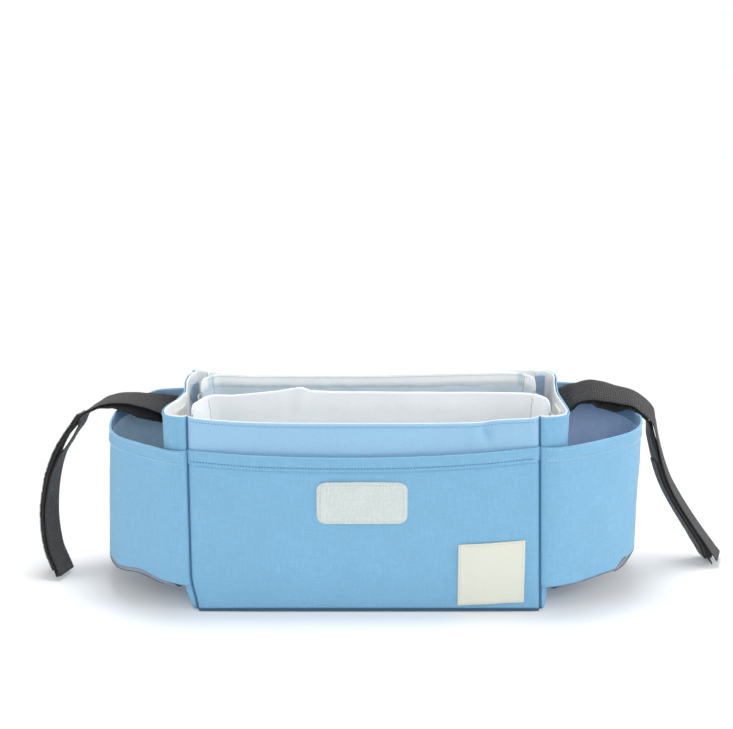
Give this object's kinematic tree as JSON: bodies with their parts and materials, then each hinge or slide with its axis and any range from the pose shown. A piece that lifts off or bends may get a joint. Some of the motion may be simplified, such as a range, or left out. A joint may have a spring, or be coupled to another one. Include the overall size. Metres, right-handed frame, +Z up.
{
  "type": "stroller organizer",
  "caption": "Open fabric caddy with padded dividers, a flat front pocket, a cup pocket at each end and webbing straps for hanging on a handlebar",
  "frame": {"origin": "centre of the underside of the bottom panel", "axes": "+X to the right along the long side, -Y out of the front pocket, +Z up out of the open top"},
  "size_m": [0.6238, 0.1342, 0.1845],
  "materials": {
    "blue_fabric": "matt coated oxford weave, light blue",
    "white_lining": "smooth white lining with a soft sheen",
    "white_foam_board": "white foam stiffener, hidden between shell and lining",
    "grey_coated_fabric": "grey-blue coated wrong side of the fabric",
    "cream_hook_tape": "cream hook and loop tape with fine ribs",
    "cream_label": "woven cotton label, bare",
    "black_webbing": "black twill webbing",
    "black_pile": "black hook and loop pile"
  },
  "bodies": {
    "root": {"front_panel": "blue_fabric", "back_panel": "blue_fabric", "left_end_panel": "blue_fabric", "right_end_panel": "blue_fabric", "bottom_panel": "blue_fabric", "front_pocket": "blue_fabric", "left_cup_band": "blue_fabric", "right_cup_band": "blue_fabric", "front_lining": "white_lining", "back_lining": "white_lining", "left_end_lining": "white_lining", "right_end_lining": "white_lining", "bottom_lining": "white_lining", "front_divider": "white_lining", "rear_divider": "white_lining", "front_board": "white_foam_board", "back_board": "white_foam_board", "bottom_board": "white_foam_board", "left_cup_base": "grey_coated_fabric", "right_cup_base": "grey_coated_fabric", "hook_patch": "cream_hook_tape", "left_loop_tape": "cream_hook_tape", "right_loop_tape": "cream_hook_tape", "left_front_divider_hook": "cream_hook_tape", "right_front_divider_hook": "cream_hook_tape", "left_rear_divider_hook": "cream_hook_tape", "right_rear_divider_hook": "cream_hook_tape", "label": "cream_label", "left_strap_outer": "black_webbing", "left_strap_inner": "black_webbing", "right_strap_outer": "black_webbing", "right_strap_inner": "black_webbing", "left_loop_strip": "black_pile", "right_loop_strip": "black_pile", "left_hook_strip": "black_pile", "right_hook_strip": "black_pile"}
  },
  "joints": []
}
